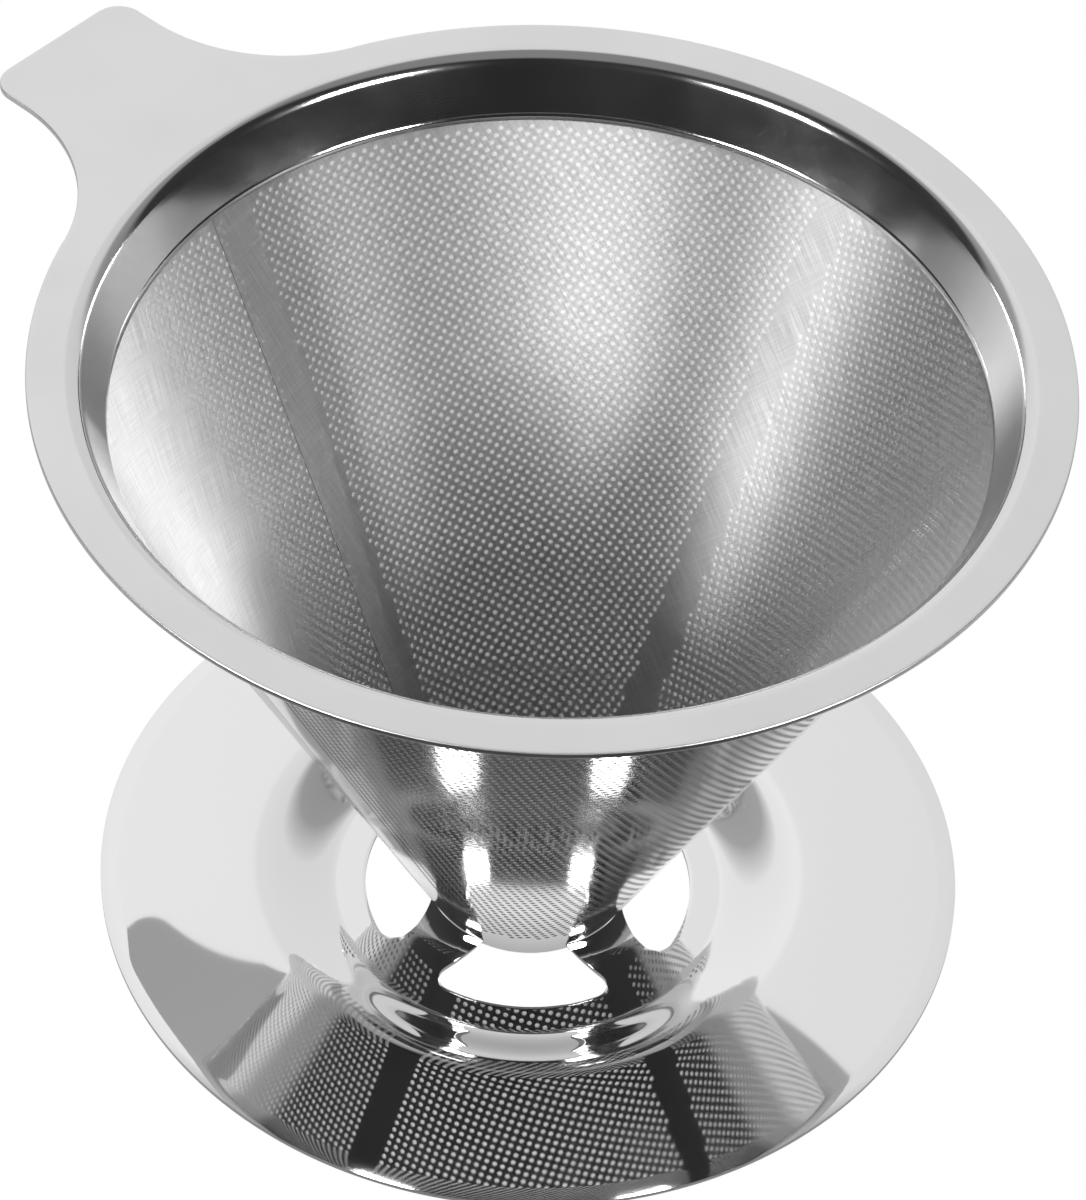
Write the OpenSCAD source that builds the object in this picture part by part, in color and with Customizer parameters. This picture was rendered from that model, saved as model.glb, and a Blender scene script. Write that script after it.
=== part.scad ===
// Paperless pour over dripper: a double-walled steel cone with a finger tab, seated in a windowed saucer stand.
// Millimetres, +Z up. The origin is on the cone's axis, in the plane the stand rests on.

/* [Rim] */
// Outer radius of the flat rim
rim_r = 62.5; // [60:0.5:66]
// Height of the rim's top face above the resting plane
rim_top_z = 95.2; // [92:0.1:98]
// Thickness of the rim sheet
rim_t = 0.8; // [0.6:0.1:1.2]
// Thickness of the drawn collar below the rim
collar_t = 0.6; // [0.4:0.05:0.8]
// Height from the rim's top face to the collar's lower edge
collar_drop = 7; // [5:0.5:10]
// Radius of the roll from the flat rim into the collar
roll_r = 2.4; // [2:0.1:2.8]

/* [Finger tab] */
// Direction of the tab, anticlockwise from +X
tab_turn = 140; // [0:1:359]
// Distance of the tab's tip from the axis
tab_reach = 85; // [83:0.5:90]
// Radius of the hollow flare from the rim into the tab
tab_flare_r = 23.5; // [21:0.5:26]
// Angle at which that flare leaves the rim, from the tab's centre line
tab_flare_at = 24; // [23:0.5:26]
// Radius of the tab's tip corners
tab_corner_r = 3.6; // [2:0.1:5]

/* [Cones] */
// Half-angle of the filter cone
half_angle = 25.6; // [24.5:0.1:26.5]
// Outer radius of the perforated cone at its lower edge
cone_foot_r = 12.77; // [12:0.01:13.5]
// Height of the cone's lower edge above the resting plane
cone_foot_z = 1; // [0.8:0.1:1.5]
// Thickness of the perforated sheet
sheet_t = 0.3; // [0.2:0.05:0.4]
// Thickness of the woven liner
mesh_t = 0.25; // [0.15:0.05:0.3]
// Space left between nested layers
layer_gap = 0.05; // [0.03:0.01:0.08]
// Height of the retaining band that shows under the collar
ring_show = 0.9; // [0.5:0.1:1.5]

/* [Tip] */
// Thickness of the plate that closes the cone
tip_t = 0.5; // [0.4:0.1:0.8]
// Height of the tip plate's turned-up skirt
tip_skirt_h = 3; // [2:0.5:5]

/* [Stand] */
// Outer radius of the saucer
stand_r = 56.3; // [54:0.1:60]
// Thickness of the saucer sheet
stand_t = 0.6; // [0.5:0.1:0.8]
// Radius where the flat disc ends and the recess begins
recess_r = 36.5; // [34:0.5:40]
// Radius of the crease round the recess floor
crease_r = 25.8; // [24.5:0.1:27]
// Depth of the recess floor below the flat disc
recess_drop = 4.2; // [3:0.1:6]
// Slope of the recess wall where it meets the crease, as rise over run
crease_slope = 0.3; // [0.1:0.05:0.5]
// Radius where the recess floor starts to rise into the neck
flare_r = 18; // [17:0.1:19]
// Height of the neck's upper edge above the resting plane
neck_z = 2.6; // [2.2:0.1:3.2]
// Clearance between the neck and the cone seated in it
seat_gap = 0.08; // [0.05:0.01:0.1]

/* [Windows] */
// Direction of the first window, anticlockwise from +X
window_turn = 270; // [0:1:359]
// Radius of the windows' outer edge
window_r = 21.5; // [20.5:0.1:22.5]
// Radius of the arc on the windows' inner side
window_arc_r = 14.6; // [14:0.1:15]
// Distance of that arc's centre from the axis
window_arc_at = 26; // [25.5:0.1:26.5]
// Radius of the windows' rounded corners
window_corner_r = 2.2; // [1.2:0.1:2.6]

/* [Hidden] */
$fn = 180;

// Small overlap that joins two solids of one piece
join = 0.1;
// Horizontal width of a layer is its thickness times this
layer_k = 1 / cos(half_angle);
window_count = 4;
arc_steps = 12;
curve_steps = 24;

// Centre height of the roll, to which both cone sheets rise behind the collar
roll_z = rim_top_z - roll_r;
collar_foot_z = rim_top_z - collar_drop;

// Outer radius of the perforated cone at height z
function cone_r(z) = cone_foot_r + (z - cone_foot_z) * tan(half_angle);
// Outer radii of the layers nested inside it
function mesh_r(z) = cone_r(z) - (sheet_t + layer_gap) * layer_k;
function lining_r(z) = mesh_r(z) - (mesh_t + layer_gap) * layer_k;
function collar_in_r(z) = lining_r(z) - collar_t * layer_k;

// Centre radius of the roll, which is tangent to the rim's top face and to the collar's inner face
roll_c = collar_in_r(roll_z + roll_r * sin(half_angle)) + roll_r * cos(half_angle);
roll_turn = 90 - half_angle;

// Centre of the tab's hollow flare, which cuts slightly into the rim, and the half-width that it leaves
flare_sink = 0.05;
flare_x = (rim_r + tab_flare_r - flare_sink) * cos(tab_flare_at);
flare_y = (rim_r + tab_flare_r - flare_sink) * sin(tab_flare_at);
tab_half_w = flare_y - tab_flare_r;

// Saucer levels
floor_top_z = stand_t;
disc_top_z = floor_top_z + recess_drop;

// Turn of the neck's curve, and its radius, from its rise and its run
neck_run = flare_r - cone_r(neck_z) - seat_gap;
neck_rise = neck_z - floor_top_z;
neck_turn = 2 * atan(neck_rise / neck_run);
neck_curve_r = neck_run / sin(neck_turn);

// Height of the neck's underside after its curve has turned by a
function neck_under_z(a) = floor_top_z + neck_curve_r - (neck_curve_r + stand_t) * cos(a);

// Angle, from a window's centre line, of the centre of its rounded corner
corner_at = acos((pow(window_r - window_corner_r, 2) + pow(window_arc_at, 2)
    - pow(window_arc_r - window_corner_r, 2)) / (2 * (window_r - window_corner_r) * window_arc_at));
corner_x = (window_r - window_corner_r) * cos(corner_at);
corner_y = (window_r - window_corner_r) * sin(corner_at);
// Where the corner's circle touches the outer edge and the inner arc
outer_touch = [corner_x, corner_y] * window_r / (window_r - window_corner_r);
inner_touch = [window_arc_at, 0]
    + ([corner_x, corner_y] - [window_arc_at, 0]) * window_arc_r / (window_arc_r - window_corner_r);

// Height of the recess wall at a share u of the way from the crease to the flat disc
function wall_z(u) = floor_top_z + recess_drop * (3 * u * u - 2 * u * u * u)
    + crease_slope * (recess_r - crease_r) * u * (1 - u) * (1 - u);

// One conical layer between two heights: outer radius offset from the cone by lie, thickness t
module layer(lie, t, low_z, high_z) {
    out_low = cone_r(low_z) - lie * layer_k;
    out_high = cone_r(high_z) - lie * layer_k;
    rotate_extrude()
        polygon([[out_low - t * layer_k, low_z], [out_low, low_z],
            [out_high, high_z], [out_high - t * layer_k, high_z]]);
}

// The tab's outline, pointing along +X
module tab_outline() {
    difference() {
        polygon([[0, 0], [flare_x, -flare_y], [flare_x, flare_y]]);
        translate([flare_x, flare_y])
            circle(r = tab_flare_r);
        translate([flare_x, -flare_y])
            circle(r = tab_flare_r);
    }
    translate([flare_x - join, -tab_half_w])
        square([tab_reach - tab_corner_r - flare_x + join, 2 * tab_half_w]);
    translate([flare_x - join, tab_corner_r - tab_half_w])
        square([tab_reach - flare_x + join, 2 * (tab_half_w - tab_corner_r)]);
    for (side = [-1, 1])
        translate([tab_reach - tab_corner_r, side * (tab_half_w - tab_corner_r)])
            circle(r = tab_corner_r);
}

// Flat ring with its tab, and the collar that its inner edge rolls into
module rim_flange() {
    color([0.86, 0.86, 0.86]) {
        translate([0, 0, rim_top_z - rim_t])
            linear_extrude(height = rim_t)
                difference() {
                    union() {
                        circle(r = rim_r);
                        rotate(tab_turn)
                            tab_outline();
                    }
                    circle(r = roll_c + roll_r);
                }
        rotate_extrude()
            polygon(concat(
                [[roll_c + roll_r + join, rim_top_z]],
                [for (i = [0 : arc_steps])
                    let (a = i / arc_steps * roll_turn)
                    [roll_c - roll_r * sin(a), roll_z + roll_r * cos(a)]],
                [[collar_in_r(collar_foot_z), collar_foot_z],
                    [lining_r(collar_foot_z), collar_foot_z]],
                [for (i = [arc_steps : -1 : 0])
                    let (a = i / arc_steps * roll_turn, under_r = roll_r - rim_t + (rim_t - collar_t) * a / roll_turn)
                    [roll_c - under_r * sin(a), roll_z + under_r * cos(a)]],
                [[roll_c + roll_r + join, rim_top_z - rim_t]]));
    }
}

// Thin band under the collar that holds the liner's upper edge
module retaining_ring() {
    color([0.78, 0.78, 0.78])
        layer(sheet_t + mesh_t + 2 * layer_gap, collar_t / 2,
            collar_foot_z - layer_gap - ring_show, collar_foot_z - layer_gap);
}

// Woven liner that holds the grounds
module mesh_cone() {
    color([0.45, 0.45, 0.45])
        layer(sheet_t + layer_gap, mesh_t, cone_foot_z, roll_z);
}

// Outer perforated sheet
module perforated_cone() {
    color([0.66, 0.66, 0.66])
        layer(0, sheet_t, cone_foot_z, roll_z);
}

// Pressed plate with a turned-up skirt that closes the bottom of both cones
module tip_plate() {
    color([0.6, 0.6, 0.6]) {
        layer(sheet_t + mesh_t + 2 * layer_gap, tip_t, cone_foot_z, cone_foot_z + tip_skirt_h);
        translate([0, 0, cone_foot_z])
            cylinder(h = tip_t, r = lining_r(cone_foot_z) - tip_t * layer_k + join);
    }
}

// One window's outline, pointing along +X
module window_outline() {
    intersection() {
        circle(r = window_r);
        translate([window_arc_at, 0])
            circle(r = window_arc_r);
        polygon([[0, 0], [0, -inner_touch[1]], [inner_touch[0], -inner_touch[1]],
            [outer_touch[0], -outer_touch[1]], [window_r + 1, -outer_touch[1]],
            [window_r + 1, outer_touch[1]], outer_touch, inner_touch, [0, inner_touch[1]]]);
    }
    for (side = [-1, 1])
        translate([corner_x, side * corner_y])
            circle(r = window_corner_r);
}

// Saucer with a recessed floor, four windows and the flared neck
module stand() {
    color([0.8, 0.8, 0.8])
        difference() {
            rotate_extrude()
                polygon(concat(
                    [[stand_r, disc_top_z - stand_t], [stand_r, disc_top_z]],
                    [for (i = [curve_steps : -1 : 0])
                        let (u = i / curve_steps)
                        [crease_r + u * (recess_r - crease_r), wall_z(u)]],
                    [for (i = [0 : arc_steps])
                        let (a = i / arc_steps * neck_turn)
                        [flare_r - neck_curve_r * sin(a), floor_top_z + neck_curve_r * (1 - cos(a))]],
                    [for (i = [arc_steps : -1 : 0])
                        let (a = i / arc_steps * neck_turn)
                        [max(flare_r - (neck_curve_r + stand_t) * sin(a), cone_r(neck_under_z(a)) + seat_gap),
                            neck_under_z(a)]],
                    [for (i = [0 : curve_steps])
                        let (u = i / curve_steps)
                        [crease_r + u * (recess_r - crease_r), wall_z(u) - stand_t]]));
            for (i = [0 : window_count - 1])
                rotate(window_turn + i * 360 / window_count)
                    translate([0, 0, -stand_t])
                        linear_extrude(height = disc_top_z)
                            window_outline();
        }
}

rim_flange();
retaining_ring();
mesh_cone();
perforated_cone();
tip_plate();
stand();
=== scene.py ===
from math import acos, asin, atan2, cos, hypot, pi, radians, sin, sqrt, tan

import bpy
import numpy as np
from mathutils import Matrix, Vector


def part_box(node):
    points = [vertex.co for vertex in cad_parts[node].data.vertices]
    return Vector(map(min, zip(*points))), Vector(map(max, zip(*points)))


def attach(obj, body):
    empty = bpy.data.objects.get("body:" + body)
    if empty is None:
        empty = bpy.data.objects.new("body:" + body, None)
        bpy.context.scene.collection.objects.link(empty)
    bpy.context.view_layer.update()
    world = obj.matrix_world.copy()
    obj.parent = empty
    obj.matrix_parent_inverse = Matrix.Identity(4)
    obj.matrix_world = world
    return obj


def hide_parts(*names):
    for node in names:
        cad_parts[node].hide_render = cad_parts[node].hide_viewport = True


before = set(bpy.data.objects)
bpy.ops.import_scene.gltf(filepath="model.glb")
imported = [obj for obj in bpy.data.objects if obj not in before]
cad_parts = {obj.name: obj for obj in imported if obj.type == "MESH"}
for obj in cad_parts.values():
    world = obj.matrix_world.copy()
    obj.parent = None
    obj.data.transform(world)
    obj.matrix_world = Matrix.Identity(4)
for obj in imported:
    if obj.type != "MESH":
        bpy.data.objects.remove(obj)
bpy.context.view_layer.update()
mm = 0.001

# measures shared by the filter's nested sheets, outside to inside
coneLow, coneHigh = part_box("perforated_cone")
cone = {
    "halfAngle": radians(25.6),
    "topRadius": coneHigh[0],
    "topZ": coneHigh[2],
    "footZ": coneLow[2],
    "sheet": 0.3 * mm,
    "mesh": 0.25 * mm,
    "gap": 0.05 * mm,
}
sinA, cosA, tanA = sin(cone["halfAngle"]), cos(cone["halfAngle"]), tan(cone["halfAngle"])


def coneRadius(z, inward=0.0):  # inward is measured square to the sheet
    return cone["topRadius"] - (cone["topZ"] - z) * tanA - inward / cosA


def arc(centreX, centreY, radius, start, end, steps):  # angles in degrees, 0 along +X
    turns = [radians(start + (end - start) * i / steps) for i in range(steps + 1)]
    return [(centreX + radius * cos(t), centreY + radius * sin(t)) for t in turns]


def makeObject(name, verts, faces, mats, faceMats=None):
    mesh = bpy.data.meshes.new(name)
    mesh.from_pydata(verts, [], faces)
    for mat in mats:
        mesh.materials.append(mat)
    if faceMats is not None:
        mesh.polygons.foreach_set("material_index", faceMats)
    mesh.update()
    obj = bpy.data.objects.new(name, mesh)
    bpy.context.scene.collection.objects.link(obj)
    return obj


def bake(obj):  # applies the modifiers so that the next step works on the final mesh
    graph = bpy.context.evaluated_depsgraph_get()
    mesh = bpy.data.meshes.new_from_object(obj.evaluated_get(graph))
    obj.modifiers.clear()
    obj.data = mesh


def smooth(obj, degrees=35):
    obj.data.polygons.foreach_set("use_smooth", [True] * len(obj.data.polygons))
    obj.data.set_sharp_from_angle(angle=radians(degrees))


def ringFaces(rows, columns, closed=True):  # quads between rows of vertices that run round the axis
    faces = []
    for i in range(rows - 1):
        for j in range(columns if closed else columns - 1):
            k = (j + 1) % columns
            faces.append((i * columns + j, i * columns + k, (i + 1) * columns + k, (i + 1) * columns + j))
    return faces


def lathe(name, profile, mats, columns=360):  # profile is a closed loop of (radius, z), clockwise
    verts = [
        (r * cos(2 * pi * j / columns), r * sin(2 * pi * j / columns), z)
        for r, z in profile
        for j in range(columns)
    ]
    faces = ringFaces(len(profile), columns)
    last = (len(profile) - 1) * columns
    for j in range(columns):
        k = (j + 1) % columns
        faces.append((last + j, last + k, k, j))
    return makeObject(name, verts, faces, mats)


def finishPiece(obj, body, node):
    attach(obj, body)
    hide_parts(node)
    print("made", obj.name, len(obj.data.polygons), "faces")


# finishes; the perforated sheet's inner one is darkened as painted shade
def newMetal(name, colour, roughness):
    mat = bpy.data.materials.new(name)
    mat.use_nodes = True
    shader = mat.node_tree.nodes["Principled BSDF"]
    shader.inputs["Base Color"].default_value = (colour, colour, colour, 1)
    shader.inputs["Metallic"].default_value = 1
    shader.inputs["Roughness"].default_value = roughness
    return mat, mat.node_tree.nodes, mat.node_tree.links, shader


def addNoise(nodes, links, source, scale, detail=3.0, stretch=(1, 1, 1)):
    mapping = nodes.new("ShaderNodeMapping")
    mapping.inputs["Scale"].default_value = stretch
    noise = nodes.new("ShaderNodeTexNoise")
    noise.inputs["Scale"].default_value = scale
    noise.inputs["Detail"].default_value = detail
    links.new(source, mapping.inputs["Vector"])
    links.new(mapping.outputs["Vector"], noise.inputs["Vector"])
    return noise.outputs["Fac"]


def addRange(nodes, links, source, low, high, fromLow=0.3, fromHigh=0.7):
    ramp = nodes.new("ShaderNodeMapRange")
    ramp.inputs["From Min"].default_value = fromLow
    ramp.inputs["From Max"].default_value = fromHigh
    ramp.inputs["To Min"].default_value = low
    ramp.inputs["To Max"].default_value = high
    links.new(source, ramp.inputs["Value"])
    return ramp.outputs["Result"]


def addRamp(nodes, links, source, stops, unit):  # stops are (place, level), from 0 up
    span = stops[-1][0] * unit
    ramp = nodes.new("ShaderNodeValToRGB")
    marks = ramp.color_ramp.elements
    marks.remove(marks[0])
    for i, (place, level) in enumerate(stops):
        mark = marks[0] if i == 0 else marks.new(place * unit / span)
        mark.position, mark.color = place * unit / span, (level, level, level, 1)
    links.new(addRange(nodes, links, source, 0, 1, 0, span), ramp.inputs["Fac"])
    return ramp.outputs["Color"]


def addBump(nodes, links, source, strength, distance, shader):
    bump = nodes.new("ShaderNodeBump")
    bump.inputs["Strength"].default_value = strength
    bump.inputs["Distance"].default_value = distance
    links.new(source, bump.inputs["Height"])
    links.new(bump.outputs["Normal"], shader.inputs["Normal"])


def satinSteel():  # blasted flat of the rim and tab
    mat, nodes, links, shader = newMetal("satinSteel", 0.78, 0.34)
    spot = nodes.new("ShaderNodeTexCoord").outputs["Object"]
    cloud = addNoise(nodes, links, spot, 60, 4)
    links.new(addRange(nodes, links, cloud, 0.30, 0.40), shader.inputs["Roughness"])
    grain = addNoise(nodes, links, spot, 5200, 2)
    addBump(nodes, links, grain, 0.12, 0.02 * mm, shader)
    return mat


def polishedSteel(name, colour, low, high):  # buffed, with faint marks from handling
    mat, nodes, links, shader = newMetal(name, colour, low)
    spot = nodes.new("ShaderNodeTexCoord").outputs["Object"]
    smudge = addNoise(nodes, links, spot, 55, 5)
    links.new(addRange(nodes, links, smudge, low, high), shader.inputs["Roughness"])
    waver = addNoise(nodes, links, spot, 90, 2)
    addBump(nodes, links, waver, 0.05, 0.05 * mm, shader)
    return mat


def wovenSteel(name, spec):  # two sets of wires, warp and weft, with the light gliding across each
    mat, nodes, links, warp = newMetal(name, 0.62, spec["roughness"])
    uv = nodes.new("ShaderNodeUVMap")
    uv.uv_map = "flatSheet"
    weft = nodes.new("ShaderNodeBsdfPrincipled")
    both = nodes.new("ShaderNodeMixShader")
    scatter = nodes.new("ShaderNodeMixShader")
    passOn = nodes.new("ShaderNodeMixShader")
    seeThrough = nodes.new("ShaderNodeMixShader")
    shares = {both: "weftShare", scatter: "scatter", passOn: "passOn", seeThrough: "open"}
    for mix, share in shares.items():
        mix.inputs["Fac"].default_value = spec[share]
    dull = nodes.new("ShaderNodeBsdfAnisotropic")
    dull.inputs["Roughness"].default_value = 0.9
    shine = nodes.new("ShaderNodeBsdfTranslucent")
    clear = nodes.new("ShaderNodeBsdfTransparent")
    out = nodes["Material Output"]
    for shader, alongWarp in ((warp, True), (weft, False)):
        shader.inputs["Metallic"].default_value = 1
        shader.inputs["Roughness"].default_value = spec["roughness"]
        shader.inputs["Anisotropic"].default_value = spec["glide"]
        shader.inputs["Anisotropic Rotation"].default_value = 0.0 if alongWarp else 0.25
        tangent = nodes.new("ShaderNodeTangent")
        tangent.direction_type = "UV_MAP"
        tangent.uv_map = "flatSheet"
        links.new(tangent.outputs["Tangent"], shader.inputs["Tangent"])
        across, run = spec["wiresPerMetre"] / 100, spec["wireRun"]
        stretch = (across, run, 1) if alongWarp else (run, across, 1)
        wires = addNoise(nodes, links, uv.outputs["UV"], 100, 2, stretch)
        shade = addRange(nodes, links, wires, spec["darkWire"], spec["lightWire"])
        grey = nodes.new("ShaderNodeCombineColor")
        for channel in ("Red", "Green", "Blue"):
            links.new(shade, grey.inputs[channel])
        links.new(grey.outputs["Color"], shader.inputs["Base Color"])
        addBump(nodes, links, wires, spec["bump"], 0.03 * mm, shader)
    links.new(grey.outputs["Color"], dull.inputs["Color"])
    links.new(warp.outputs["BSDF"], both.inputs[1])
    links.new(weft.outputs["BSDF"], both.inputs[2])
    links.new(both.outputs["Shader"], scatter.inputs[1])
    links.new(dull.outputs["BSDF"], scatter.inputs[2])
    links.new(scatter.outputs["Shader"], passOn.inputs[1])
    links.new(shine.outputs["BSDF"], passOn.inputs[2])
    links.new(passOn.outputs["Shader"], seeThrough.inputs[1])
    links.new(clear.outputs["BSDF"], seeThrough.inputs[2])
    links.new(seeThrough.outputs["Shader"], out.inputs["Surface"])
    return mat


satin = satinSteel()
collarShine = polishedSteel("collarShine", 0.72, 0.08, 0.16)
sheetShine = polishedSteel("sheetShine", 0.74, 0.07, 0.13)
standShine = polishedSteel("standShine", 0.84, 0.02, 0.05)
plateSteel = polishedSteel("plateSteel", 0.6, 0.2, 0.3)
cutEdge = polishedSteel("cutEdge", 0.3, 0.3, 0.4)
# the perforated sheet's inner face: the same steel, rougher, with its colour darkened to 0.2 as painted shade
# inside the cone
sheetInsidePaintedShade = polishedSteel("sheetInsidePaintedShade", 0.2, 0.35, 0.5)
print("finishes ready")

# rim, tab and collar
rimLow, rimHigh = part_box("rim_flange")
rim = {
    "radius": rimHigh[0],
    "topZ": rimHigh[2],
    "footZ": rimLow[2],
    "sheet": 0.8 * mm,
    "collar": 0.6 * mm,
    "roll": 2.4 * mm,
    "edge": 0.16 * mm,
    "tabTurn": 140,
    "tabReach": 85 * mm,
    "tabFlare": 23.5 * mm,
    "tabFlareAt": 24,
    "tabCorner": 3.6 * mm,
    "flatSink": 0.05 * mm,
    "bead": 0.2 * mm,  # rounding of the collar's lower edge
    "rollStart": 0.6 * mm,  # where the flat hands over to the roll
    "columns": 1200,
}


def rimOutline(spec):  # tab along +X, anticlockwise from the middle of its tip
    flareX = (spec["radius"] + spec["tabFlare"] - spec["flatSink"]) * cos(radians(spec["tabFlareAt"]))
    flareY = (spec["radius"] + spec["tabFlare"] - spec["flatSink"]) * sin(radians(spec["tabFlareAt"]))
    halfWidth = flareY - spec["tabFlare"]
    corner = spec["tabCorner"]
    half = [(spec["tabReach"], 0)]
    half += arc(spec["tabReach"] - corner, halfWidth - corner, corner, 0, 90, 24)
    half += arc(flareX, flareY, spec["tabFlare"], 270, 180 + spec["tabFlareAt"], 80)
    half += arc(0, 0, spec["radius"], spec["tabFlareAt"], 180, 400)[1:]
    outline = half + [(x, -y) for x, y in half[-2:0:-1]]
    turn = radians(spec["tabTurn"])
    return [(x * cos(turn) - y * sin(turn), x * sin(turn) + y * cos(turn)) for x, y in outline]


def evenly(points, count):  # the same closed line with evenly spaced points
    ring = np.array(points + points[:1])
    along = np.concatenate([[0], np.cumsum(np.hypot(*np.diff(ring, axis=0).T))])
    spots = np.linspace(0, along[-1], count, endpoint=False)
    return np.stack([np.interp(spots, along, ring[:, k]) for k in (0, 1)], 1)


def makeRim(spec):
    outline = evenly(rimOutline(spec), spec["columns"])
    ahead, behind = np.roll(outline, -1, 0), np.roll(outline, 1, 0)
    along = ahead - behind
    along /= np.hypot(along[:, 0], along[:, 1])[:, None]
    outward = np.stack([along[:, 1], -along[:, 0]], 1)
    radial = outline / np.hypot(outline[:, 0], outline[:, 1])[:, None]
    top, under, edge = spec["topZ"], spec["topZ"] - spec["sheet"], spec["edge"]
    lining = cone["sheet"] + cone["mesh"] + 2 * cone["gap"]
    rollZ = top - spec["roll"]
    rollR = coneRadius(rollZ + spec["roll"] * sinA, lining + spec["collar"]) + spec["roll"] * cosA
    rows, rowIsFlat = [], []

    def addEdgeRow(inset, z, flat=True):
        rows.append(np.column_stack([outline - outward * inset, np.full(len(outline), z)]))
        rowIsFlat.append(flat)

    def addRoundRow(radius, z, flat=False):
        rows.append(np.column_stack([radial * radius, np.full(len(outline), z)]))
        rowIsFlat.append(flat)

    for x, z in arc(edge, under + edge, edge, 270, 180, 4) + arc(edge, top - edge, edge, 180, 90, 4):
        addEdgeRow(x, z)
    addEdgeRow(3 * edge, top)
    addRoundRow(rollR + spec["rollStart"], top, True)
    rollTurn, steps = pi / 2 - cone["halfAngle"], 24
    for i in range(steps + 1):
        turn = i / steps * rollTurn
        addRoundRow(rollR - spec["roll"] * sin(turn), rollZ + spec["roll"] * cos(turn), i < 3)
    foot, bead = spec["footZ"], spec["bead"]
    for i in range(1, 7):  # the collar's inner face, down to its rounded edge
        z = rollZ + spec["roll"] * sinA + (foot + bead - rollZ - spec["roll"] * sinA) * i / 6
        addRoundRow(coneRadius(z, lining + spec["collar"]), z)
    addRoundRow(coneRadius(foot, lining + spec["collar"] - bead), foot)
    addRoundRow(coneRadius(foot, lining + bead), foot)
    addRoundRow(coneRadius(foot + bead, lining), foot + bead)
    for i in range(steps // 2 + 1):
        turn = (1 - 2 * i / steps) * rollTurn
        reach = spec["roll"] - spec["sheet"] + (spec["sheet"] - spec["collar"]) * turn / rollTurn
        addRoundRow(rollR - reach * sin(turn), rollZ + reach * cos(turn))
    addRoundRow(rollR + spec["rollStart"], under, True)
    addEdgeRow(3 * edge, under)
    verts = np.concatenate(rows)
    count = len(outline)
    faces = ringFaces(len(rows), count)
    faceMats = []
    for i in range(len(rows) - 1):
        faceMats += [0 if rowIsFlat[i] and rowIsFlat[i + 1] else 1] * count
    last = (len(rows) - 1) * count
    for j in range(count):
        k = (j + 1) % count
        faces.append((last + j, last + k, k, j))
    faceMats += [0] * count
    obj = makeObject("rimFlange", verts.tolist(), [f[::-1] for f in faces], [satin, collarShine], faceMats)
    smooth(obj, 40)
    return obj


finishPiece(makeRim(rim), "filter", "rim_flange")

# band under the collar
ringLow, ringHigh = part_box("retaining_ring")
band = {"thick": 0.3 * mm, "edge": 0.1 * mm}


def makeBand(spec):
    lining = cone["sheet"] + cone["mesh"] + 2 * cone["gap"]
    low, high, edge = ringLow[2], ringHigh[2], spec["edge"]
    outer = [(coneRadius(z, lining), z) for z in (low + edge, high - edge)]
    inner = [(coneRadius(z, lining + spec["thick"]), z) for z in (high - edge, low + edge)]
    top = [(coneRadius(high, lining + edge), high), (coneRadius(high, lining + spec["thick"] - edge), high)]
    foot = [(coneRadius(low, lining + spec["thick"] - edge), low), (coneRadius(low, lining + edge), low)]
    obj = lathe("retainingRing", outer + top + inner + foot, [collarShine], 480)
    smooth(obj, 60)
    return obj


finishPiece(makeBand(band), "filter", "retaining_ring")

# woven liner
liner = {
    "seam": 142.4,  # the lapped edge runs beside this line on the cone
    "seamAside": 1.7 * mm,
    "lap": 7,  # degrees of overlap
    "wireTurn": 263,  # the blank's middle, which its wires are square to
    "weftShare": 0.2,  # the second set of wires lies mostly under the first
    "columns": 420,
    "rows": 40,
    "sheet": 0.12 * mm,
    "step": 0.15 * mm,
    "roughness": 0.6,
    "glide": 1.0,
    "scatter": 0.2,  # share of the wires' light that goes every way
    "passOn": 0.3,  # share that the round wires pass to the other side
    "open": 0.3,  # see-through share of the inner face, then of the outer one
    "openOutside": 0.85,
    "wiresPerMetre": 5200,
    "wireRun": 1.3,
    "darkWire": 0.6,
    "lightWire": 0.95,
    "bump": 0.3,
}


def makeLiner(spec):
    linerLow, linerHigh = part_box("mesh_cone")
    outside = cone["sheet"] + cone["gap"] + spec["sheet"]  # depth of the liner's inner face
    verts, uvs = [], []
    span = 2 * pi + radians(spec["lap"])
    for i in range(spec["rows"] + 1):
        z = linerLow[2] + (linerHigh[2] - linerLow[2]) * i / spec["rows"]
        start = radians(spec["seam"] - spec["lap"]) + spec["seamAside"] / coneRadius(z, outside)
        for j in range(spec["columns"] + 1):
            share = j / spec["columns"]
            turn = start + span * share
            over = min(1, max(0, (share - 1 + 2 * radians(spec["lap"]) / span) * span / radians(spec["lap"])))
            radius = coneRadius(z, outside + over * spec["step"])
            verts.append((radius * cos(turn), radius * sin(turn), z))
            slant, swing = radius / sinA, (turn - radians(spec["wireTurn"] - 360)) * sinA
            uvs.append((slant * cos(swing), slant * sin(swing)))
    faces = ringFaces(spec["rows"] + 1, spec["columns"] + 1, closed=False)
    outsideSpec = {**spec, "open": spec["openOutside"]}
    steels = [wovenSteel("wovenInside", spec), wovenSteel("wovenOutside", outsideSpec), cutEdge]
    obj = makeObject("wovenLiner", verts, [f[::-1] for f in faces], steels)
    layer = obj.data.uv_layers.new(name="flatSheet")
    for loop in obj.data.loops:
        layer.data[loop.index].uv = uvs[loop.vertex_index]
    solid = obj.modifiers.new("thickness", "SOLIDIFY")
    solid.thickness, solid.offset, solid.material_offset, solid.material_offset_rim = spec["sheet"], -1, 1, 2
    bake(obj)
    smooth(obj, 40)
    return obj


finishPiece(makeLiner(liner), "filter", "mesh_cone")

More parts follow.
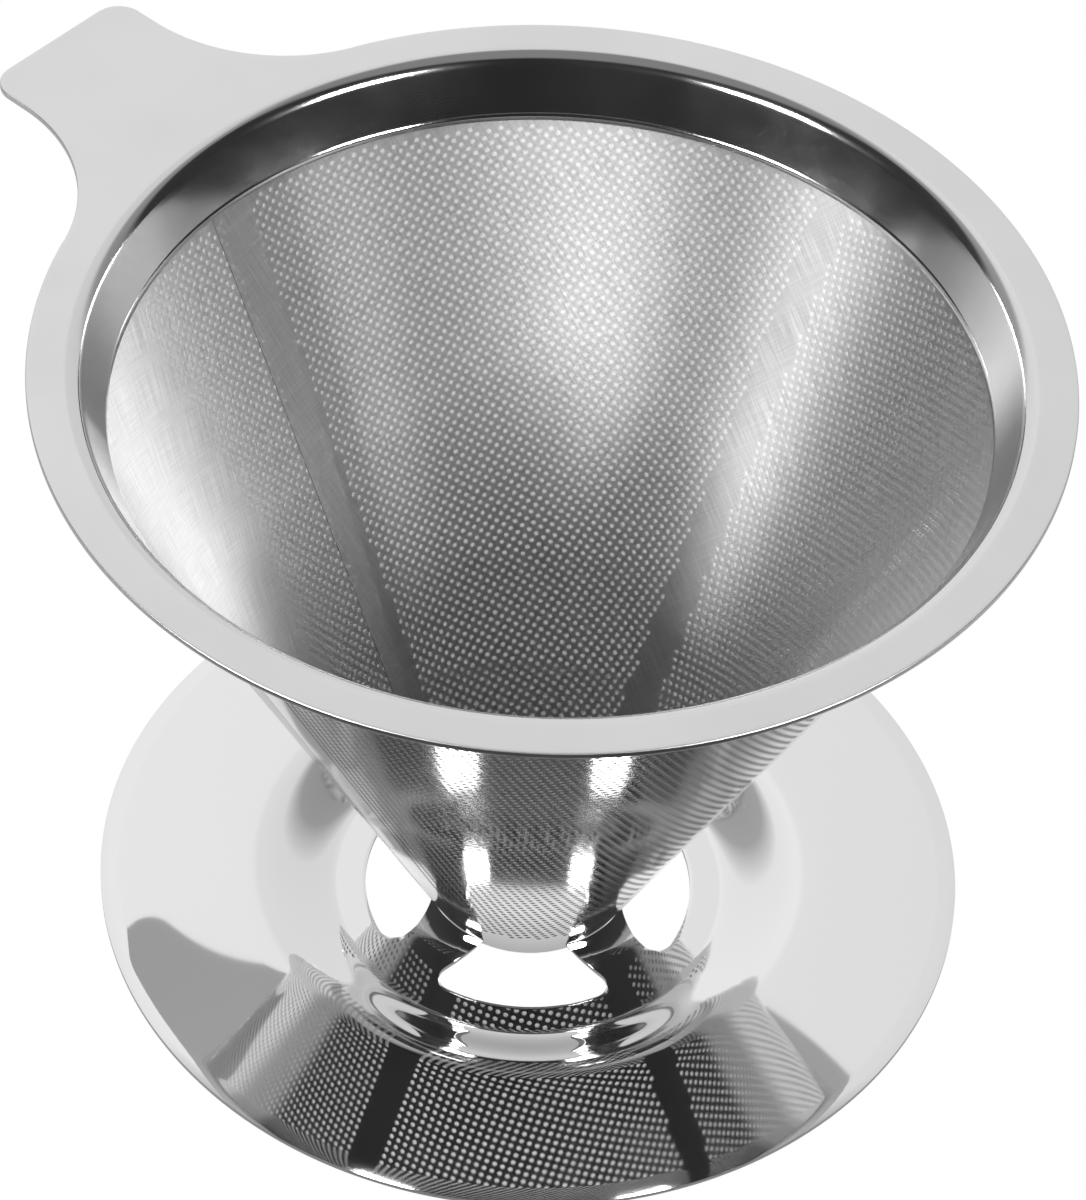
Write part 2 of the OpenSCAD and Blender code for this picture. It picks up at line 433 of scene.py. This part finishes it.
# perforated cone
perforated = {
    "pitch": 1.105 * mm,
    "hole": 0.34 * mm,  # radius
    "holeSides": 8,
    "middle": 230,  # the blank's middle, which the square grid of holes is square to
    "stripTurns": (-90, 0, 90),  # plain strips, from the middle
    "stripHalf": 2.3 * mm,
    "seamHalf": 2.3 * mm,
    "footBand": 7.4 * mm,
    "topBand": 7.5 * mm,
}


def makePerforated(spec):
    # the sheet is laid out flat: polar round the apex, with the blank's middle along +X
    footSlant = coneRadius(cone["footZ"]) / sinA
    topSlant = coneRadius(cone["topZ"]) / sinA
    wrap = pi * sinA
    pitch = spec["pitch"]
    count = int(topSlant / pitch) + 2
    column, row = np.meshgrid(np.arange(0, count), np.arange(-count, count), indexing="ij")
    column, row = column.ravel(), row.ravel()
    cornerX = np.stack([column, column + 1, column + 1, column]) * pitch
    cornerY = np.stack([row, row, row + 1, row + 1]) * pitch
    slant, swing = np.hypot(cornerX, cornerY), np.arctan2(cornerY, cornerX)
    inside = (slant > footSlant) & (slant < topSlant) & (np.abs(swing) < wrap)
    kept = inside.any(0)
    column, row = column[kept], row[kept]
    middleX, middleY = (column + 0.5) * pitch, (row + 0.5) * pitch
    slant, swing = np.hypot(middleX, middleY), np.arctan2(middleY, middleX)
    holed = (slant > footSlant + spec["footBand"]) & (slant < topSlant - spec["topBand"])
    for turn in spec["stripTurns"]:
        holed &= np.abs(slant * np.sin(swing - radians(turn) * sinA)) > spec["stripHalf"]
    holed &= slant * np.sin(wrap - np.abs(swing)) > spec["seamHalf"]
    # shared corner points, with those past the blank's edge drawn in to it
    key = np.stack([
        np.stack([column, column + 1, column + 1, column]),
        np.stack([row, row, row + 1, row + 1]),
    ], -1).reshape(-1, 2)
    points, index = np.unique(key, axis=0, return_inverse=True)
    index = index.reshape(4, -1)
    cornerSlant = np.clip(np.hypot(*points.T) * pitch, footSlant, topSlant)
    cornerSwing = np.clip(np.arctan2(points[:, 1], points[:, 0]), -wrap, wrap)
    sides = spec["holeSides"]
    turns = (np.arange(sides) + 0.5) * 2 * pi / sides - 3 * pi / 4 - pi / sides * 2
    holeX = middleX[holed][:, None] + spec["hole"] * np.cos(turns)
    holeY = middleY[holed][:, None] + spec["hole"] * np.sin(turns)
    allSlant = np.concatenate([cornerSlant, np.hypot(holeX, holeY).ravel()])
    allSwing = np.concatenate([cornerSwing, np.arctan2(holeY, holeX).ravel()])
    around = radians(spec["middle"]) + allSwing / sinA
    verts = np.column_stack([
        allSlant * sinA * np.cos(around),
        allSlant * sinA * np.sin(around),
        cone["footZ"] + (allSlant - footSlant) * cosA,
    ])
    faces = [tuple(quad[::-1]) for quad in index[:, ~holed].T.tolist()]
    first = len(points)
    each = sides // 4
    for n, quad in enumerate(index[:, holed].T.tolist()):
        ring = [first + n * sides + k for k in range(sides)]
        for side in range(4):
            a, b = quad[side], quad[(side + 1) % 4]
            k = side * each
            faces.append((a, ring[k], ring[(k + 1) % sides], b))
            for step in range(1, each):
                faces.append((b, ring[(k + step) % sides], ring[(k + step + 1) % sides]))
    # the inner face, grown by the solidify, takes the darkened steel: painted shade
    obj = makeObject("perforatedCone", verts.tolist(), faces, [sheetShine, sheetInsidePaintedShade])
    solid = obj.modifiers.new("thickness", "SOLIDIFY")
    solid.thickness, solid.offset, solid.material_offset = cone["sheet"], -1, 1
    bake(obj)
    smooth(obj, 40)
    print("holes in the perforated sheet:", int(holed.sum()))
    return obj


finishPiece(makePerforated(perforated), "filter", "perforated_cone")

# plate in the tip
tip = {"plate": 0.5 * mm, "skirt": 3 * mm, "bend": 0.8 * mm, "footEdge": 0.15 * mm, "middle": 0.2 * mm}


def makeTip(spec):
    lining = cone["sheet"] + cone["mesh"] + 2 * cone["gap"]
    low = cone["footZ"]
    lip = low + spec["skirt"]
    halfPlate = spec["plate"] / 2
    outer = [(coneRadius(z, lining), z) for z in (low + spec["footEdge"], lip - halfPlate)]
    crown = [(coneRadius(lip, lining + halfPlate), lip)]
    bendZ = low + spec["plate"] + spec["bend"]
    inner = [(coneRadius(z, lining + spec["plate"]), z) for z in (lip - halfPlate, bendZ)]
    floorR = coneRadius(bendZ, lining + spec["plate"]) - spec["bend"]
    curve = arc(floorR, bendZ, spec["bend"], -25, -90, 6)
    middle = [(spec["middle"], low + spec["plate"]), (spec["middle"], low)]
    foot = [(coneRadius(low, lining) - spec["footEdge"], low)]
    obj = lathe("tipPlate", outer + crown + inner + curve + middle + foot, [plateSteel], 180)
    smooth(obj, 40)
    return obj


finishPiece(makeTip(tip), "filter", "tip_plate")

# stand
standLow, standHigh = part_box("stand")
stand = {
    "radius": standHigh[0],
    "discZ": standHigh[2],
    "sheet": 0.6 * mm,
    "recess": 36.5 * mm,
    "crease": 25.8 * mm,
    "creaseSlope": 0.3,
    "flare": 18 * mm,
    "neckZ": 2.6 * mm,
    "seatGap": 0.08 * mm,
    "windowTurn": 270,
    "window": 21.5 * mm,
    "windowArc": 14.6 * mm,
    "windowArcAt": 26 * mm,
    "windowCorner": 2.2 * mm,
    "edge": 0.1 * mm,
}


def standZ(r, spec):  # height of the stand's upper face
    floorZ = spec["sheet"]
    drop = spec["discZ"] - floorZ
    if r >= spec["recess"]:
        return spec["discZ"]
    if r >= spec["crease"]:
        run = spec["recess"] - spec["crease"]
        u = (r - spec["crease"]) / run
        return floorZ + drop * (3 * u * u - 2 * u ** 3) + spec["creaseSlope"] * run * u * (1 - u) ** 2
    if r >= spec["flare"]:
        return floorZ
    run = spec["flare"] - coneRadius(spec["neckZ"]) - spec["seatGap"]
    rise = spec["neckZ"] - floorZ
    curve = (run * run + rise * rise) / (2 * rise)
    across = min(spec["flare"] - r, curve)
    return floorZ + curve - sqrt(curve * curve - across * across)


def makeStand(spec):
    cut, outer, at, corner = spec["windowArc"], spec["window"], spec["windowArcAt"], spec["windowCorner"]
    reach = outer - corner
    cornerTurn = acos((reach ** 2 + at ** 2 - (cut - corner) ** 2) / (2 * reach * at))
    widest = cornerTurn + asin(corner / reach)
    touchX = at + (reach * cos(cornerTurn) - at) * cut / (cut - corner)
    touchY = reach * sin(cornerTurn) * cut / (cut - corner)
    innerTouch = atan2(touchY, touchX)
    neckR = coneRadius(spec["neckZ"]) + spec["seatGap"]
    neckTurn = acos((neckR ** 2 + at ** 2 - cut ** 2) / (2 * neckR * at))

    def cornerHit(turn, sign):
        along = reach * cos(turn - cornerTurn)
        return along + sign * sqrt(max(0, corner ** 2 - reach ** 2 + along ** 2))

    def innerEdge(turn):
        if turn >= widest:
            return cornerHit(widest, -1)
        if turn >= innerTouch:
            return cornerHit(turn, -1)
        return at * cos(turn) - sqrt(cut ** 2 - (at * sin(turn)) ** 2)

    def outerEdge(turn):
        if turn >= widest:
            return cornerHit(widest, 1)
        return outer if turn <= cornerTurn else cornerHit(turn, 1)

    bend, quarter = 18, pi / 4
    toQuarter = [widest + (quarter - widest) * i / 6 for i in range(1, 7)]
    legTurns = [neckTurn + (widest - neckTurn) * sin(pi / 2 * i / bend) for i in range(bend + 1)] + toQuarter
    discTurns = [widest * sin(pi / 2 * i / (2 * bend)) for i in range(2 * bend + 1)] + toQuarter
    verts, faces = [], []

    def addPatch(turns, radii, turned):
        first = len(verts)
        for turn in turns:
            for r in radii(abs(turn)):
                verts.append((r * cos(turn + turned), r * sin(turn + turned), standZ(r, spec)))
        deep = (len(verts) - first) // len(turns)
        for i in range(len(turns) - 1):
            for j in range(deep - 1):
                a = first + i * deep + j
                faces.append((a, a + 1, a + deep + 1, a + deep))

    def legRadii(turn):
        edge = innerEdge(turn)
        return [neckR + (edge - neckR) * i / 14 for i in range(15)]

    def discRadii(turn):
        edge = outerEdge(turn)
        floor = [edge + (spec["crease"] - edge) * i / 8 for i in range(9)]
        wall = [spec["crease"] + (spec["recess"] - spec["crease"]) * i / 28 for i in range(1, 29)]
        disc = [spec["recess"] + (spec["radius"] - spec["recess"]) * i / 8 for i in range(1, 9)]
        return floor + wall + disc

    for n in range(4):
        turned = radians(spec["windowTurn"]) + n * pi / 2
        addPatch(legTurns, legRadii, turned)
        addPatch([-t for t in legTurns[::-1]], legRadii, turned)
        addPatch([-t for t in discTurns[:0:-1]] + discTurns, discRadii, turned)
    obj = makeObject("saucerStand", verts, faces, [standShine, cutEdge])
    weld = obj.modifiers.new("weld", "WELD")
    weld.merge_threshold = 0.01 * mm
    solid = obj.modifiers.new("thickness", "SOLIDIFY")
    solid.thickness, solid.offset, solid.material_offset_rim = spec["sheet"], -1, 1
    bake(obj)
    for vert in obj.data.vertices:  # the leg tips stop at the cone that they carry
        radius = hypot(vert.co.x, vert.co.y)
        least = coneRadius(vert.co.z) + spec["seatGap"]
        if radius < least:
            vert.co.x *= least / radius
            vert.co.y *= least / radius
    bevel = obj.modifiers.new("edges", "BEVEL")
    bevel.width, bevel.segments, bevel.limit_method = spec["edge"], 2, "ANGLE"
    bevel.angle_limit = radians(50)
    bake(obj)
    smooth(obj, 25)
    return obj


finishPiece(makeStand(stand), "stand", "stand")

# floor, studio and camera
studio = {
    "paper": 2.0,  # half size of the floor
    "floorZ": -0.02 * mm,
    # the glowing floor that only the steel sees: (mm from the axis, brightness); darker near the axis as a
    # painted shadow of the cone, dimmer far out as a painted fall-off of the light
    "paperSeenPaintedShadow": [(0, 0.3), (11, 0.4), (18, 0.92), (50, 0.92), (110, 0.5)],
    "skyTop": 0.28,
    "skyRight": 0.87,  # the backdrop falls off a little to the right
    # the room: (degrees round from the back, brightness)
    "sky": [(0, 0.96), (22, 0.95), (42, 0.9), (52, 0.42), (66, 0.36), (73, 0.05), (110, 0.03)],
    "boxes": [  # name, turn from +X, elevation, distance, width, height, strength
        ("boxLeft", -139, 34, 1.2, 0.40, 0.30, 38),
        ("boxRight", -40, 34, 1.2, 0.36, 0.30, 38),
    ],
    "fill": (60, 0.13),  # mm up the axis, watts: light inside the cone that comes out through the weave
}


def newGlow(name, strength):
    mat = bpy.data.materials.new(name)
    mat.use_nodes = True
    nodes, links = mat.node_tree.nodes, mat.node_tree.links
    nodes.remove(nodes["Principled BSDF"])
    glow = nodes.new("ShaderNodeEmission")
    glow.inputs["Strength"].default_value = strength
    links.new(glow.outputs["Emission"], nodes["Material Output"].inputs["Surface"])
    return mat, nodes, links, glow


def makePlane(name, halfX, halfY, mat):
    corners = [(x * halfX, y * halfY, 0) for x, y in ((-1, -1), (1, -1), (1, 1), (-1, 1))]
    plane = makeObject(name, corners, [(0, 1, 2, 3)], [mat])
    return plane


def makeStudio(spec):
    # the white paper that the camera sees, and a dimmer glowing one that only the steel sees, with a painted
    # shadow under the cone
    paper = makePlane("floor", spec["paper"], spec["paper"], newGlow("paperWhite", 1.0)[0])
    paper.location.z = spec["floorZ"]
    paper.visible_glossy = paper.visible_diffuse = False
    mat, nodes, links, glow = newGlow("paperSeenPaintedShadow", 1.0)
    spot = nodes.new("ShaderNodeTexCoord").outputs["Object"]
    away = nodes.new("ShaderNodeVectorMath")
    away.operation = "LENGTH"
    links.new(spot, away.inputs[0])
    # painted shadow of the cone near the axis and painted fall-off of the light far out; near black in front
    near = addRamp(nodes, links, away.outputs["Value"], spec["paperSeenPaintedShadow"], mm)
    split = nodes.new("ShaderNodeSeparateXYZ")
    links.new(spot, split.inputs["Vector"])
    front = addRange(nodes, links, split.outputs["Y"], 0.03, 1.0, -0.11, -0.04)
    both = nodes.new("ShaderNodeMath")
    both.operation = "MULTIPLY"
    links.new(near, both.inputs[0])
    links.new(front, both.inputs[1])
    links.new(both.outputs["Value"], glow.inputs["Strength"])
    under = makePlane("floorSeen", spec["paper"], spec["paper"], mat)
    under.location.z = 2 * spec["floorZ"]
    under.visible_camera = False
    for name, turn, rise, distance, width, height, strength in spec["boxes"]:
        box = makePlane(name, width / 2, height / 2, newGlow(name, strength)[0])
        turn, rise = radians(turn), radians(rise)
        toBox = Vector((cos(turn) * cos(rise), sin(turn) * cos(rise), sin(rise)))
        facing = (-toBox).to_track_quat("Z", "Y").to_matrix().to_4x4()
        box.matrix_world = Matrix.Translation(toBox * distance) @ facing
        box.visible_camera = False
    light = bpy.data.lights.new("fill", "POINT")
    light.energy, light.shadow_soft_size = spec["fill"][1], 8 * mm
    fill = bpy.data.objects.new("fill", light)
    fill.location.z = spec["fill"][0] * mm
    fill.visible_camera = fill.visible_glossy = False
    bpy.context.scene.collection.objects.link(fill)
    # the room: a bright backdrop, dim overhead, black on the near side
    world = bpy.data.worlds.new("studio")
    world.use_nodes = True
    nodes, links = world.node_tree.nodes, world.node_tree.links
    split = nodes.new("ShaderNodeSeparateXYZ")
    links.new(nodes.new("ShaderNodeTexCoord").outputs["Generated"], split.inputs["Vector"])
    aside = nodes.new("ShaderNodeMath")
    aside.operation = "ABSOLUTE"
    links.new(split.outputs["X"], aside.inputs[0])
    turn = nodes.new("ShaderNodeMath")
    turn.operation = "ARCTAN2"
    links.new(aside.outputs["Value"], turn.inputs[0])
    links.new(split.outputs["Y"], turn.inputs[1])
    level = addRamp(nodes, links, turn.outputs["Value"], spec["sky"], radians(1))
    slope = addRange(nodes, links, split.outputs["X"], 1.0, spec["skyRight"], -0.12, 0.12)
    even = nodes.new("ShaderNodeMath")
    even.operation = "MULTIPLY"
    links.new(level, even.inputs[0])
    links.new(slope, even.inputs[1])
    high = addRange(nodes, links, split.outputs["Z"], 0.0, 1.0, 0.84, 0.92)
    mix = nodes.new("ShaderNodeMix")
    links.new(high, mix.inputs["Factor"])
    links.new(even.outputs["Value"], mix.inputs["A"])
    mix.inputs["B"].default_value = spec["skyTop"]
    links.new(mix.outputs["Result"], nodes["Background"].inputs["Strength"])
    nodes["Background"].inputs["Color"].default_value = (1, 1, 1, 1)
    bpy.context.scene.world = world
    bpy.context.scene.view_settings.view_transform = "Standard"


view = {
    "place": (0.000155, -0.4289, 0.5023),
    "lookDown": 46.24,
    "roll": 2.86,
    "lens": 149.2,
}


def makeCamera(spec):
    data = bpy.data.cameras.new("camera")
    data.sensor_width, data.lens = 36, spec["lens"]
    data.clip_start, data.clip_end = 0.01, 20
    camera = bpy.data.objects.new("camera", data)
    tilt = Matrix.Rotation(radians(90 - spec["lookDown"]), 4, "X")
    roll = Matrix.Rotation(radians(spec["roll"]), 4, "Z")
    camera.matrix_world = Matrix.Translation(spec["place"]) @ tilt @ roll
    bpy.context.scene.collection.objects.link(camera)
    bpy.context.scene.camera = camera


makeStudio(studio)
makeCamera(view)
print("studio and camera ready")
